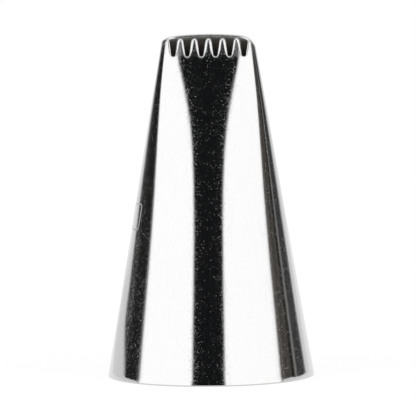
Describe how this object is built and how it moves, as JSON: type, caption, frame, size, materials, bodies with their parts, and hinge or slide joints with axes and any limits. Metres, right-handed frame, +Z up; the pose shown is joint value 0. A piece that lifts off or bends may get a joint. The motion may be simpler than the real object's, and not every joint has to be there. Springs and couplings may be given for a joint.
{
  "type": "piping nozzle",
  "caption": "Basket-weave piping nozzle: a polished steel cone pressed to a flat outlet slot, toothed on one lip and plain on the other.",
  "frame": {"origin": "centre of the wide base rim, on the plane that it stands on", "axes": "+Z up the nozzle's axis towards the outlet slot; X along the slot; -Y towards the toothed lip"},
  "size_m": [0.018, 0.018, 0.03],
  "materials": {
    "polished_steel": "drawn stainless steel sheet, mirror polished, with faint drawing streaks"
  },
  "bodies": {
    "root": {"nozzle": "polished_steel"}
  },
  "joints": []
}
